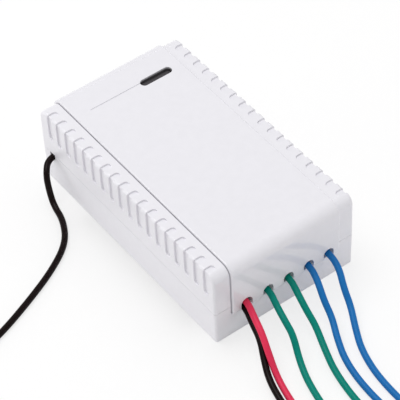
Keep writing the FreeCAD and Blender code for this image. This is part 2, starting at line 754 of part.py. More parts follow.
def make_diodes(name, places, along_y):
    """A moulded body with a terminal folded under each end."""
    body = new_body(name, group=True)
    long_half, short_half = "(diode_length / 2)", "(diode_width / 2)"
    for index, (x, y) in enumerate(places):
        half_x, half_y = (short_half, long_half) if along_y else (long_half, short_half)
        block(body, f"body_{index}", f"{x} - {half_x}", f"{x} + {half_x}", f"{y} - {half_y}",
              f"{y} + {half_y}", f"({board_top} + diode_lift)", f"({board_top} + diode_height)")
        reach = f"({long_half} + diode_terminal)"
        foot_half = "(diode_foot_width / 2)"
        half_x, half_y = (foot_half, reach) if along_y else (reach, foot_half)
        block(body, f"feet_{index}", f"{x} - {half_x}", f"{x} + {half_x}", f"{y} - {half_y}",
              f"{y} + {half_y}", board_top, f"({board_top} + diode_foot_height)")
    return body


def make_voltage_regulator():
    body = new_body("voltage_regulator")
    centred_block(body, "body", left_column_x, regulator_y, "regulator_width", "regulator_length",
                  board_top, f"({board_top} + regulator_height)")
    reach = "(regulator_length / 2 + regulator_tab)"
    block(body, "heat_tab", f"{left_column_x} - regulator_tab_width / 2",
          f"{left_column_x} + regulator_tab_width / 2", f"({regulator_y} - {reach})", regulator_y,
          board_top, f"({board_top} + regulator_tab_height)")
    for side in ("-", "+"):
        place = f"({left_column_x} {side} regulator_leg_place)"
        name = "leg_left" if side == "-" else "leg_right"
        block(body, name, f"{place} - regulator_leg_width / 2", f"{place} + regulator_leg_width / 2",
              regulator_y, f"({regulator_y} + {reach})", board_top, f"({board_top} + regulator_leg_height)")
    return body


def make_smoothing_capacitor():
    body = new_body("smoothing_capacitor")
    place = [(left_column_x, capacitor_y)]
    top = f"({board_top} + capacitor_height)"
    rods(body, "can", place, "capacitor_radius", board_top, top)
    round_edges(body, "rim", "capacitor_rim", lambda edge: lies_at(edge, 2, top))
    sketch = new_sketch(body, "vent", "XY_Plane", top)
    draw_box(sketch, f"{left_column_x} - vent_length / 2", f"{left_column_x} + vent_length / 2",
             f"{capacitor_y} - vent_width / 2", f"{capacitor_y} + vent_width / 2")
    pocket(body, sketch, "vent_depth")
    return body


def make_legged_chip(name, x, y, low, legs_per_side, length, width, height):
    """A flat package with bent legs along its two long sides."""
    body = new_body(name)
    centred_block(body, "package", x, y, length, width, f"({low} + chip_standoff)",
                  f"({low} + {height})")
    sketch = new_sketch(body, "legs", "XZ_Plane", f"-{y}")
    for index in range(int(value(legs_per_side))):
        place = f"({x} + ({index} - ({legs_per_side} - 1) / 2) * chip_leg_pitch)"
        draw_box(sketch, f"{place} - chip_leg_width / 2", f"{place} + chip_leg_width / 2",
                 low, f"({low} + {height} / 2)")
    extrude(body, sketch, f"{width} + 2 * chip_leg_reach", symmetric=True)
    round_edges(body, "top", "chip_edge", lambda edge: lies_at(edge, 2, f"{low} + {height}"))
    return body


def make_transistors():
    body = new_body("drive_transistors", group=True)
    for index, x in enumerate((left_relay_x, f"({right_relay_x} - transistor_length)")):
        centred_block(body, f"body_{index}", x, transistor_y, "transistor_length", "transistor_width",
                      f"({board_top} + transistor_lift)", f"({board_top} + transistor_height)")
        front, rear = f"({transistor_y} - transistor_width)", f"({transistor_y} + transistor_width)"
        legs = [("left", f"{x} - transistor_leg_place", front, transistor_y),
                ("right", f"{x} + transistor_leg_place", front, transistor_y),
                ("back", x, transistor_y, rear)]
        for leg, place, y_low, y_high in legs:
            block(body, f"leg_{index}_{leg}", f"{place} - transistor_leg_size / 2",
                  f"{place} + transistor_leg_size / 2", y_low, y_high, board_top,
                  f"({board_top} + transistor_leg_size)")
    return body


# Radio module: a small board carried on a row of pins

def make_radio_board():
    body = new_body("radio_board")
    block(body, "sheet", radio_x_low, radio_x_high, radio_y_low, radio_y_high, radio_low, radio_top)
    return body


def radio_pin_place(index):
    x = f"({radio_x_low} + 2 * header_pitch + {index} * header_pitch)"
    return x, f"({radio_y_low} + header_pitch / 2)"


def make_radio_header():
    body = new_body("radio_header")
    first, y = radio_pin_place(0)
    last = radio_pin_place("(radio_pin_count - 1)")[0]
    block(body, "strip", f"{first} - header_pitch / 2", f"{last} + header_pitch / 2",
          f"{y} - header_pitch / 2", f"{y} + header_pitch / 2", board_top, radio_low)
    return body


def make_radio_pins():
    body = new_body("radio_pins", group=True)
    sketch = new_sketch(body, "pins", "XY_Plane", radio_top)
    for index in range(int(value("radio_pin_count"))):
        x, y = radio_pin_place(index)
        draw_circle(sketch, x, y, "radio_pin_radius")
    extrude(body, sketch, "radio_pin_rise")
    return body


# Teaching switch and mode link

def make_learn_switch_body():
    body = new_body("learn_switch_body")
    top = f"({board_top} + switch_height)"
    centred_block(body, "case", switch_x, switch_y, "switch_size", "switch_size", board_top, top)
    round_edges(body, "corners", "switch_corner", lambda edge: runs_along(edge, 2))
    rods(body, "plunger_hole", [(switch_x, switch_y)], "(button_radius + button_gap)",
         f"({top} - button_depth - button_travel - button_stop_gap)", f"({top} + 1)", "Pocket")
    reach = "(switch_size / 2 + switch_leg_reach)"
    for side in ("-", "+"):
        name = "legs_front" if side == "-" else "legs_rear"
        y = f"({switch_y} {side} switch_leg_place)"
        block(body, name, f"{switch_x} - {reach}", f"{switch_x} + {reach}", f"{y} - switch_leg_width / 2",
              f"{y} + switch_leg_width / 2", board_top, f"({board_top} + switch_leg_height)")
    return body


def make_learn_button():
    body = new_body("learn_button")
    top = f"({board_top} + switch_height)"
    rods(body, "plunger", [(switch_x, switch_y)], "button_radius", f"({top} - button_depth)",
         f"({top} + button_rise)")
    round_edges(body, "rim", "button_edge", lambda edge: lies_at(edge, 2, f"{top} + button_rise"))
    return body


mode_places = [(f"({left_column_x} {sx} header_pitch / 2)", f"({header_y} {sy} header_pitch / 2)")
               for sx in ("-", "+") for sy in ("-", "+")]


def make_mode_header():
    body = new_body("mode_header")
    base_top = f"({board_top} + header_height)"
    centred_block(body, "strip", left_column_x, header_y, "2 * header_pitch", "2 * header_pitch",
                  board_top, base_top)
    sketch = new_sketch(body, "pins", "XY_Plane", base_top)
    for x, y in mode_places:
        draw_box(sketch, f"{x} - header_pin / 2", f"{x} + header_pin / 2", f"{y} - header_pin / 2",
                 f"{y} + header_pin / 2")
    extrude(body, sketch, "mode_pin_rise")
    return body


def make_mode_jumper():
    """The link over the left pair of pins, with a bore for each pin."""
    body = new_body("mode_jumper")
    low = f"({board_top} + header_height + jumper_seat)"
    x = mode_places[0][0]
    centred_block(body, "cap", x, header_y, "(header_pitch - 2 * jumper_margin)",
                  "(2 * header_pitch - 2 * jumper_margin)", low, f"({low} + jumper_height)")
    sketch = new_sketch(body, "bores", "XY_Plane", f"({low} - 1)")
    half_bore = "(header_pin / 2 + jumper_bore_gap)"
    for place_x, place_y in mode_places[:2]:
        draw_box(sketch, f"{place_x} - {half_bore}", f"{place_x} + {half_bore}",
                 f"{place_y} - {half_bore}", f"{place_y} + {half_bore}")
    pocket(body, sketch, "jumper_height + 2", reverse=True)
    return body


# Wires: straight runs joined by tangent arcs, swept with the wire's own section

def bent_path(points, fixed_radius=None):
    """Edges through the route's points, and the arc radii. Each arc is as large as its two runs allow."""
    edges, radii = [], []
    start = points[0]
    for before, corner, after in zip(points, points[1:], points[2:]):
        way_in, way_out = (corner - before), (after - corner)
        shorter = min(way_in.Length, way_out.Length)
        way_in.normalize()
        way_out.normalize()
        half_turn = way_in.getAngle(way_out) / 2
        radius = fixed_radius or 0.45 * shorter / math.tan(half_turn)
        radii.append(radius)
        setback = radius * math.tan(half_turn)
        arc_start, arc_end = corner - way_in * setback, corner + way_out * setback
        towards = (way_out - way_in).normalize()
        centre = corner + towards * (radius / math.cos(half_turn))
        arc_middle = centre + (corner - centre).normalize() * radius
        edges.append(Part.LineSegment(start, arc_start).toShape())
        edges.append(Part.Arc(arc_start, arc_middle, arc_end).toShape())
        start = arc_end
    edges.append(Part.LineSegment(start, points[-1]).toShape())
    return edges, radii


def wire_solid(points, radius, fixed_radius=None):
    edges, radii = bent_path(points, fixed_radius)
    path = Part.Wire(edges)
    direction = (points[1] - points[0]).normalize()
    section = Part.Wire([Part.Circle(points[0], direction, radius).toShape()])
    solid = path.makePipeShell([section], True, False)
    expected = math.pi * radius ** 2 * path.Length
    if abs(solid.Volume - expected) > 0.01 * expected:
        raise RuntimeError("a wire's volume is not its section times its length")
    return solid, path.Length, radii


def add_feature(name, shape):
    feature = doc.addObject("Part::Feature", name)
    feature.Label = name
    feature.Shape = shape
    feature.Placement = FreeCAD.Placement()
    return feature


def vector(x, y, z):
    return FreeCAD.Vector(x, y, z)


wire_radius = value("lead_diameter / 2")
front = -value(cover_front)
lead_start_y = front + value("lead_inside")
rest_z = wire_radius

# Each route starts inside its notch. The points are (out from the cover, sideways, height), and
# where the height is None the wire lies on the surface that the housing stands on.
routes = {
    "lead_black": ((0.3, -0.2, 7.6), (3.5, -0.95, 6.05), (7.0, -1.45, 4.05), (10.8, -3.4, 1.85),
                   (15.5, -5.55, None), (22.0, -7.2, None), (31.0, -8.7, None), (43.0, -10.1, None),
                   (57.0, -10.5, None), (70.0, -11.5, None), (80.5, -13.2, None), (88.5, -14.0, None)),
    "lead_red": ((0.3, 0.0, 9.4), (3.5, -0.75, 8.0), (7.0, -1.3, 6.05), (10.8, -2.45, 3.65),
                 (15.5, -3.8, None), (22.0, -5.5, None), (31.5, -7.0, None), (43.5, -8.3, None),
                 (56.5, -8.6, None), (69.0, -9.6, None), (79.0, -11.2, None), (86.5, -11.8, None)),
    "lead_green_1": ((0.3, 0.15, 8.75), (3.4, -0.4, 7.0), (6.7, -0.75, 5.15), (10.2, -1.05, 3.4),
                     (15.4, -3.3, None), (22.0, -5.75, None), (31.5, -7.65, None), (44.0, -8.15, None),
                     (57.5, -7.2, None), (70.0, -7.1, None), (80.0, -8.4, None), (87.5, -8.7, None)),
    "lead_green_2": ((0.3, 0.2, 8.75), (3.4, -0.1, 6.6), (6.7, -0.3, 3.95), (10.2, -0.45, 1.95),
                     (15.9, -2.45, None), (23.0, -4.95, None), (33.0, -6.5, None), (45.5, -6.3, None),
                     (59.0, -4.8, None), (71.0, -4.4, None), (81.5, -5.3, None), (89.5, -5.4, None)),
    "lead_blue_1": ((0.3, 0.2, 8.75), (3.4, -0.2, 6.9), (6.7, -1.05, 3.6), (10.2, -1.5, 1.1),
                    (15.4, -4.2, None), (22.0, -7.0, None), (31.5, -8.5, None), (44.5, -8.2, None),
                    (58.0, -5.8, None), (70.5, -3.8, None), (81.0, -3.4, None), (89.0, -4.1, None)),
    "lead_blue_2": ((0.3, 0.2, 8.75), (3.4, 0.2, 7.0), (6.7, -1.05, 3.6), (10.2, -1.9, 1.2),
                    (15.6, -4.9, None), (22.0, -8.1, None), (31.0, -10.1, None), (43.5, -10.2, None),
                    (56.5, -7.8, None), (69.0, -4.6, None), (79.5, -2.8, None), (87.5, -2.8, None)),
}
starts = {"lead_black": (value(pair_x + " - pair_spread"), value("lead_height - pair_drop")),
          "lead_red": (value(pair_x), value("lead_height + pair_rise"))}
starts.update({"lead_" + name: (value(x), value("lead_height")) for name, x in single_leads.items()})

antenna_route = ((-1.4, 0.0, 8.95), (-4.2, -3.15, 8.05), (-4.7, -4.55, 3.9), (-5.25, -7.0, None),
                 (-5.2, -11.8, None), (-11.4, -17.4, None), (-19.4, -21.8, None),
                 (-28.6, -26.4, None), (-38.4, -32.2, None), (-49.6, -35.8, None), (-60.6, -36.2, None))


def lay(route, place):
    return [place(*point[:2], rest_z if point[2] is None else point[2]) for point in route]


def tell_wire(name, length, radii):
    print(name, "length %.1f" % length, "smallest arc %.1f" % min(radii), [round(r, 1) for r in radii])


def make_leads():
    made = []
    for name, (x, height) in starts.items():
        points = [vector(x, lead_start_y, height)]
        points += lay(routes[name], lambda out, side, z: vector(x + side, front - out, z))
        solid, length, radii = wire_solid(points, wire_radius)
        tell_wire(name, length, radii)
        made.append(add_feature(name, solid))
        made.append(make_tinned_end(name.replace("lead", "tinned_end"), points))
    side_face = -value(half_width)
    exit_y = value(antenna_y)
    points = [vector(side_face + value("wall"), exit_y, value("antenna_height"))]
    points += lay(antenna_route, lambda x, y, z: vector(side_face + x, exit_y + y, z))
    solid, length, radii = wire_solid(points, wire_radius)
    tell_wire("antenna_wire", length, radii)
    made.append(add_feature("antenna_wire", solid))
    return made


def make_tinned_end(name, points):
    """The bare conductor beyond the insulation, from the lead's end face."""
    direction = (points[-1] - points[-2]).normalize()
    shape = Part.makeCylinder(value("conductor_diameter / 2"), value("tinned_length"), points[-1], direction)
    return add_feature(name, shape)


def joint_places():
    """Where each wire meets the board: the red lead's pad is set back behind the black one's."""
    places = {}
    for name, (x, height) in starts.items():
        setback = value("red_pad_setback") if name == "lead_red" else 0
        places[name] = (x, value(pad_y) + setback)
    return places


def make_inner_leads():
    """The fixed stretches of the wires, from their openings down to the board."""
    solids = []
    end_z, gap = value(joint_top), value("wire_end_gap")
    for name, (x, y) in joint_places().items():
        height = starts[name][1]
        points = [vector(x, lead_start_y + gap, height), vector(x, y, height), vector(x, y, end_z)]
        solids.append(wire_solid(points, wire_radius, value("inner_bend"))[0])
    height = value("antenna_height")
    x, y = value("antenna_pad_x"), value(antenna_pad_y)
    wall_x, wall_y = -value(inner_x), value(antenna_y)
    turn_x = wall_x + value("antenna_straight")
    points = [vector(wall_x + gap, wall_y, height), vector(turn_x, wall_y, height),
              vector(x, y, height), vector(x, y, end_z)]
    solids.append(wire_solid(points, wire_radius, value("inner_bend"))[0])
    return add_feature("inner_leads", Part.makeCompound(solids))


def make_solder_joints():
    low, height = value(board_top), value("solder_height")
    places = list(joint_places().values()) + [(value("antenna_pad_x"), value(antenna_pad_y))]
    cones = [Part.makeCone(value("solder_radius"), wire_radius, height, vector(x, y, low)) for x, y in places]
    return add_feature("solder_joints", Part.makeCompound(cones))


case_head_low = "(head_recess - screw_head_height)"
board_screw_places = [(left_screw_x, left_screw_y), (right_screw_x, right_screw_y)]
resistor_places = [(f"(({index} - (resistor_count - 1) / 2) * resistor_pitch)", resistor_y)
                   for index in range(int(value("resistor_count")))]
ceramic_x = "(chip_length / 2 + part_gap + resistor_length / 2)"
ceramic_places = [(ceramic_x, f"({chip_y} + ({index} - (ceramic_count - 1) / 2) * ceramic_pitch)")
                  for index in range(int(value("ceramic_count")))]
light_places = [(f"(window_x {side} light_spacing / 2)", window_y) for side in ("-", "+")]
radio_middle_y = f"(({radio_y_low} + {radio_y_high} + header_pitch) / 2)"
radio_chip_x = f"({radio_x_high} - part_gap - radio_chip_size)"
crystal_x = f"({radio_x_low} + part_gap + crystal_width)"

nodes = [
    make_base_tray(),
    make_side_frame(),
    make_top_cover(),
    make_indicator_lens(),
    make_screws("case_screws", boss_places, "screw_head_radius", case_head_low, "head_recess",
                "screw_radius", "(parting_height + screw_bite)", True),
    make_circuit_board(),
    make_screws("board_screws", board_screw_places, "board_screw_head", board_top,
                f"({board_top} + board_screw_head_height)", "board_screw_radius",
                f"({board_top} - board_screw_length)", False),
    make_relay("relay_channel_1", left_relay_x, relay_pins[:4]),
    make_relay("relay_channel_2", right_relay_x, relay_pins[4:]),
    make_diodes("input_diode", [(input_diode_x, input_diode_y)], along_y=True),
    make_diodes("flyback_diodes", [(left_relay_x, flyback_y), (right_relay_x, flyback_y)], along_y=False),
    make_smoothing_capacitor(),
    make_voltage_regulator(),
    make_transistors(),
    make_legged_chip("microcontroller", "0", chip_y, board_top, "chip_legs_per_side", "chip_length",
                     "chip_width", "chip_height"),
    make_chip_parts("chip_resistors", resistor_places, "resistor_length", "resistor_width",
                    "resistor_height"),
    make_chip_parts("chip_capacitors", ceramic_places, "resistor_length", "resistor_width",
                    "ceramic_height"),
    make_chip_parts("channel_lights", light_places, "light_length", "light_width", "light_height"),
    make_radio_board(),
    make_radio_header(),
    make_radio_pins(),
    make_legged_chip("radio_chip", radio_chip_x, radio_middle_y, radio_top, "2", "radio_chip_size",
                     "radio_chip_size", "radio_chip_height"),
    make_learn_switch_body(),
    make_learn_button(),
    make_mode_header(),
    make_mode_jumper(),
    make_inner_leads(),
    make_solder_joints(),
]
crystal = new_body("radio_crystal")
centred_block(crystal, "can", crystal_x, radio_middle_y, "crystal_width", "crystal_length", radio_top,
              f"({radio_top} + crystal_height)")
round_edges(crystal, "corners", "crystal_corner", lambda edge: runs_along(edge, 2))
nodes.append(crystal)
nodes += make_leads()

doc.recompute()
for item in doc.Objects:
    if "Invalid" in item.State or "Error" in item.State:
        raise RuntimeError(item.Name + " is " + ", ".join(item.State))
os.makedirs("parts", exist_ok=True)
for node in nodes:
    if node.Shape.isNull() or not node.Shape.isValid():
        raise RuntimeError(node.Label + " has no valid shape")
    node.Shape.exportStep("parts/" + node.Label + ".step")
    print(node.Label, len(node.Shape.Solids), "%.1f" % node.Shape.Volume)
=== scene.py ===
import bpy
import bmesh
import json
import math
from mathutils import Matrix, Vector


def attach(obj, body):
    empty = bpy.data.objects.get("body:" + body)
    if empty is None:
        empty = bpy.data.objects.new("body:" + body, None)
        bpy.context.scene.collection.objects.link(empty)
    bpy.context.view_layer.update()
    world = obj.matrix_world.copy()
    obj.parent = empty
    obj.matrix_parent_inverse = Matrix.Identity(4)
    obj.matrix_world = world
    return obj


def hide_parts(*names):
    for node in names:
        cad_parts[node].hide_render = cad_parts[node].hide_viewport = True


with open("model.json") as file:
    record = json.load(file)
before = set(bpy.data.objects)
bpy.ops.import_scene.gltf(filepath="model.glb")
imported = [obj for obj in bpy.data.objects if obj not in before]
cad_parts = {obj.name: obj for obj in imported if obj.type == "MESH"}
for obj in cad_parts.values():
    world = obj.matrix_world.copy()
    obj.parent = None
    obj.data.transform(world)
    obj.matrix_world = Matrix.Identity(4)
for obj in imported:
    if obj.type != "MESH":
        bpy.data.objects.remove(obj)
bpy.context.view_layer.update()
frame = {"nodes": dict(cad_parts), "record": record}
print("frame loaded with", len(frame["nodes"]), "nodes")

mm = 0.001

# camera at the photograph's viewing angle
cameraSettings = {
    "azimuth": 34.236,     # degrees from the front towards the antenna's side
    "elevation": 47.098,
    "roll": -3.32,
    "distance": 520.6 * mm,
    "target": (-2.1 * mm, -4.98 * mm, 11.25 * mm),
    "lens": 199.8,
    "clipStart": 0.01,
}


def placeCamera(settings):
    azimuth, elevation, roll = (math.radians(settings[key]) for key in ("azimuth", "elevation", "roll"))
    back = Vector((-math.sin(azimuth) * math.cos(elevation), -math.cos(azimuth) * math.cos(elevation),
                   math.sin(elevation)))
    level = Vector((0, 0, 1)).cross(back).normalized()
    upright = back.cross(level)
    right = math.cos(roll) * level + math.sin(roll) * upright
    up = back.cross(right)
    camera = bpy.data.objects.new("camera", bpy.data.cameras.new("camera"))
    camera.data.lens = settings["lens"]
    camera.data.clip_start = settings["clipStart"]
    place = Matrix((right, up, back)).transposed().to_4x4()
    place.translation = Vector(settings["target"]) + back * settings["distance"]
    camera.matrix_world = place
    bpy.context.scene.collection.objects.link(camera)
    bpy.context.scene.camera = camera


placeCamera(cameraSettings)
bpy.context.scene.view_settings.view_transform = "Standard"
print("camera placed")

# light and floor
studio = {
    "sky": 0.51,
    "lamps": {
        "key": {"power": 4.05, "size": 0.6, "place": (-0.12, 0.20, 0.85), "mirrored": True},
        "side": {"power": 0.38, "size": 0.35, "place": (-0.35, 0.30, 0.10), "mirrored": False},
        "fill": {"power": 0.27, "size": 0.4, "place": (0.24, -0.34, 0.12), "mirrored": False},
    },
    "floorColour": (0.985, 0.98, 0.978, 1),
    "floorGlow": 0.72,     # share of the floor that the camera sees as plain white
    "mirroredGlow": 0.58,     # the same share in the housing's mirror images
    "floorSize": 6.0,
    "contactShade": {"centre": (-20.0 * mm, -5.0 * mm, 0), "reach": (0.2 * mm, 19.0 * mm, 0),
                     "fall": 8.0 * mm, "depth": 0.225},     # painted soft shadow along the housing's left side
}


def lookAt(thing, place, target=(0, 0, 0)):
    thing.location = place
    thing.rotation_euler = (Vector(target) - Vector(place)).to_track_quat("-Z", "Y").to_euler()


def plugIn(material, step, values):
    for socket, value in zip(step.inputs, values):
        if isinstance(value, bpy.types.NodeSocket):
            material.node_tree.links.new(value, socket)
        else:
            socket.default_value = value


def mathStep(material, operation, *values):
    step = material.node_tree.nodes.new("ShaderNodeMath")
    step.operation = operation
    plugIn(material, step, values)
    return step.outputs["Value"]


def vectorStep(material, operation, *values, result="Vector"):
    step = material.node_tree.nodes.new("ShaderNodeVectorMath")
    step.operation = operation
    plugIn(material, step, values)
    return step.outputs[result]


def awayFrom(material, centre):
    place = material.node_tree.nodes.new("ShaderNodeTexCoord").outputs["Object"]
    return vectorStep(material, "ABSOLUTE", vectorStep(material, "SUBTRACT", place, centre))


# the floor's glow, lowered near the housing's left side as a painted soft shadow
def shadedGlow(material, centre, reach, fall, depth):
    outside = vectorStep(material, "SUBTRACT", awayFrom(material, centre), reach)
    outside = vectorStep(material, "MAXIMUM", outside, (0, 0, 0))
    distance = vectorStep(material, "LENGTH", outside, result="Value")
    nearness = mathStep(material, "EXPONENT", mathStep(material, "MULTIPLY", distance, -1 / fall))
    return mathStep(material, "MULTIPLY_ADD", nearness, -depth, 1.0)


def makeStudio(settings):
    world = bpy.data.worlds.new("studio")
    world.use_nodes = True
    world.node_tree.nodes["Background"].inputs["Color"].default_value = (1, 1, 1, 1)
    world.node_tree.nodes["Background"].inputs["Strength"].default_value = settings["sky"]
    bpy.context.scene.world = world

    for name, values in settings["lamps"].items():
        light = bpy.data.lights.new(name, "AREA")
        light.energy = values["power"]
        light.size = values["size"]
        lamp = bpy.data.objects.new(name, light)
        lookAt(lamp, values["place"])
        lamp.visible_glossy = values["mirrored"]
        bpy.context.scene.collection.objects.link(lamp)

    bm = bmesh.new()
    bmesh.ops.create_grid(bm, x_segments=1, y_segments=1, size=settings["floorSize"] / 2)
    mesh = bpy.data.meshes.new("floor")
    bm.to_mesh(mesh)
    bm.free()
    floor = bpy.data.objects.new("floor", mesh)
    bpy.context.scene.collection.objects.link(floor)

    material = bpy.data.materials.new("floor")
    material.use_nodes = True
    nodes, links = material.node_tree.nodes, material.node_tree.links
    nodes.remove(nodes["Principled BSDF"])
    diffuse = nodes.new("ShaderNodeBsdfDiffuse")
    diffuse.inputs["Color"].default_value = settings["floorColour"]
    glow = nodes.new("ShaderNodeEmission")
    links.new(shadedGlow(material, **settings["contactShade"]), glow.inputs["Strength"])
    rays = nodes.new("ShaderNodeLightPath")
    mirrored = mathStep(material, "MAXIMUM", rays.outputs["Is Glossy Ray"],
                        rays.outputs["Is Transmission Ray"])
    reflected = mathStep(material, "MULTIPLY", mirrored, settings["mirroredGlow"])
    share = mathStep(material, "MULTIPLY_ADD", rays.outputs["Is Camera Ray"], settings["floorGlow"],
                     reflected)
    mix = nodes.new("ShaderNodeMixShader")
    links.new(share, mix.inputs["Fac"])
    links.new(diffuse.outputs[0], mix.inputs[1])
    links.new(glow.outputs[0], mix.inputs[2])
    links.new(mix.outputs[0], nodes["Material Output"].inputs["Surface"])
    mesh.materials.append(material)


makeStudio(studio)
print("studio ready")


# materials
noiseBand = (0.3, 0.7)     # where most of the noise's values lie
grainHeight = 0.02 * mm
grainDetail = 3.0
mottleSize = 6     # the colour's patches, in grains
hazeSize = 3     # the roughness's patches, in grains
# dark colour of the painted shade in the cover's window recess and along its engraved line
shadeColour = (0.07, 0.065, 0.069, 1)
mixFactor, mixBase, mixShade, mixResult = 0, 6, 7, 2     # the colour sockets of a Mix node


def startMaterial(name, colour, roughness, metallic):
    material = bpy.data.materials.new(name)
    material.use_nodes = True
    shader = material.node_tree.nodes["Principled BSDF"]
    shader.inputs["Base Color"].default_value = (*colour, 1)
    shader.inputs["Roughness"].default_value = roughness
    shader.inputs["Metallic"].default_value = metallic
    return material


def addNoise(material, scale, detail=2.0):
    nodes, links = material.node_tree.nodes, material.node_tree.links
    place = nodes.new("ShaderNodeTexCoord")
    noise = nodes.new("ShaderNodeTexNoise")
    noise.inputs["Scale"].default_value = scale
    noise.inputs["Detail"].default_value = detail
    links.new(place.outputs["Object"], noise.inputs["Vector"])
    return noise.outputs["Fac"]


def varyColour(material, scale, dark, light):
    nodes, links = material.node_tree.nodes, material.node_tree.links
    ramp = nodes.new("ShaderNodeValToRGB")
    for element, position, colour in zip(ramp.color_ramp.elements, noiseBand, (dark, light)):
        element.position = position
        element.color = (*colour, 1)
    links.new(addNoise(material, scale), ramp.inputs["Fac"])
    links.new(ramp.outputs["Color"], nodes["Principled BSDF"].inputs["Base Color"])


def varyRoughness(material, scale, low, high):
    nodes, links = material.node_tree.nodes, material.node_tree.links
    spread = nodes.new("ShaderNodeMapRange")
    for name, value in zip(("From Min", "From Max", "To Min", "To Max"), (*noiseBand, low, high)):
        spread.inputs[name].default_value = value
    links.new(addNoise(material, scale), spread.inputs["Value"])
    links.new(spread.outputs["Result"], nodes["Principled BSDF"].inputs["Roughness"])


def addGrain(material, scale, strength):
    nodes, links = material.node_tree.nodes, material.node_tree.links
    bump = nodes.new("ShaderNodeBump")
    bump.inputs["Distance"].default_value = grainHeight
    bump.inputs["Strength"].default_value = strength
    links.new(addNoise(material, scale, grainDetail), bump.inputs["Height"])
    links.new(bump.outputs["Normal"], nodes["Principled BSDF"].inputs["Normal"])


def plainFinish(name, colour, roughness, grain=2500, metallic=0.0, spread=0.12, shine=0.5, relief=0.15,
                uneven=0.15):
    material = startMaterial(name, colour, roughness, metallic)
    material.node_tree.nodes["Principled BSDF"].inputs["Specular IOR Level"].default_value = shine
    dark = tuple(part * (1 - spread) for part in colour)
    light = tuple(min(1, part * (1 + spread)) for part in colour)
    varyColour(material, grain / mottleSize, dark, light)
    if uneven:
        varyRoughness(material, grain / hazeSize, roughness * (1 - uneven),
                      min(1, roughness * (1 + uneven)))
    if relief:
        addGrain(material, grain, relief)
    return material


# paints shade into the base colour inside a soft-edged box of object coordinates
def darkenBox(material, centre, reach, soft, strength):
    nodes, links = material.node_tree.nodes, material.node_tree.links
    shader = nodes["Principled BSDF"]
    parts = nodes.new("ShaderNodeSeparateXYZ")
    links.new(awayFrom(material, centre), parts.inputs["Vector"])
    amount = strength
    for axis, edge, blur in zip("XYZ", reach, soft):
        fade = nodes.new("ShaderNodeMapRange")
        for name, value in zip(("From Min", "From Max", "To Min", "To Max"), (edge, edge + blur, 1, 0)):
            fade.inputs[name].default_value = value
        links.new(parts.outputs[axis], fade.inputs["Value"])
        amount = mathStep(material, "MULTIPLY", fade.outputs["Result"], amount)
    mix = nodes.new("ShaderNodeMix")
    mix.data_type = "RGBA"
    links.new(amount, mix.inputs[mixFactor])
    links.new(shader.inputs["Base Color"].links[0].from_socket, mix.inputs[mixBase])
    mix.inputs[mixShade].default_value = shadeColour
    links.new(mix.outputs[mixResult], shader.inputs["Base Color"])


finishes = {
    "white_plastic": {"colour": (0.84, 0.83, 0.872), "roughness": 0.3, "grain": 3000, "spread": 0.01,
                      "relief": 0, "uneven": 0},
    "cover_plastic": {"colour": (0.84, 0.83, 0.872), "roughness": 0.07, "grain": 3000, "spread": 0.01,
                      "relief": 0},
    "smoked_plastic": {"colour": (0.075, 0.07, 0.075), "roughness": 0.12, "grain": 3000},
    "screw_steel": {"colour": (0.55, 0.55, 0.57), "roughness": 0.35, "metallic": 1.0},
    "board_laminate": {"colour": (0.03, 0.16, 0.07), "roughness": 0.35},
    "relay_case": {"colour": (0.03, 0.10, 0.38), "roughness": 0.3},
    "component_black": {"colour": (0.025, 0.025, 0.027), "roughness": 0.5},
    "can_aluminium": {"colour": (0.72, 0.72, 0.73), "roughness": 0.3, "metallic": 1.0},
    "ceramic_tan": {"colour": (0.48, 0.34, 0.2), "roughness": 0.5},
    "light_cap": {"colour": (0.8, 0.78, 0.6), "roughness": 0.2},
    "pin_metal": {"colour": (0.78, 0.62, 0.3), "roughness": 0.28, "metallic": 1.0},
    "solder": {"colour": (0.66, 0.66, 0.68), "roughness": 0.3, "metallic": 1.0},
    "button_plastic": {"colour": (0.75, 0.75, 0.75), "roughness": 0.4},
    "jumper_plastic": {"colour": (0.6, 0.02, 0.02), "roughness": 0.35},
    "red_insulation": {"colour": (0.74, 0.03, 0.09), "roughness": 0.38, "spread": 0.04, "shine": 0.2},
    "black_insulation": {"colour": (0.007, 0.003, 0.003), "roughness": 0.3, "spread": 0.04, "shine": 0.1},
    "green_insulation": {"colour": (0.0, 0.23, 0.175), "roughness": 0.38, "spread": 0.04, "shine": 0.12},
    "blue_insulation": {"colour": (0.01, 0.16, 0.46), "roughness": 0.38, "spread": 0.04, "shine": 0.15},
    "mixed_insulation": {"colour": (0.02, 0.02, 0.022), "roughness": 0.4},
}
materials = {name: plainFinish(name, **settings) for name, settings in finishes.items()}

# painted shade inside the window's recess and along the engraved line
shades = {
    "window": {"centre": (7.95 * mm, 25.45 * mm, 21.3 * mm), "reach": (4.52 * mm, 1.17 * mm, 0.6 * mm),
               "soft": (0.02 * mm, 0.02 * mm, 0.6 * mm), "strength": 0.97},
    "line": {"centre": (-3.76 * mm, 25.85 * mm, 22.5 * mm), "reach": (7.1 * mm, 0.12 * mm, 1.0 * mm),
             "soft": (0.3 * mm, 0.4 * mm, 0.1 * mm), "strength": 0.02},
}
for settings in shades.values():
    darkenBox(materials["cover_plastic"], **settings)

slotOf = {entry["node"]: entry["material_slot"] for entry in frame["record"]["subparts"]}
for name, node in frame["nodes"].items():
    for slot in node.material_slots:
        slot.material = materials[slotOf[name]]
print("materials assigned")


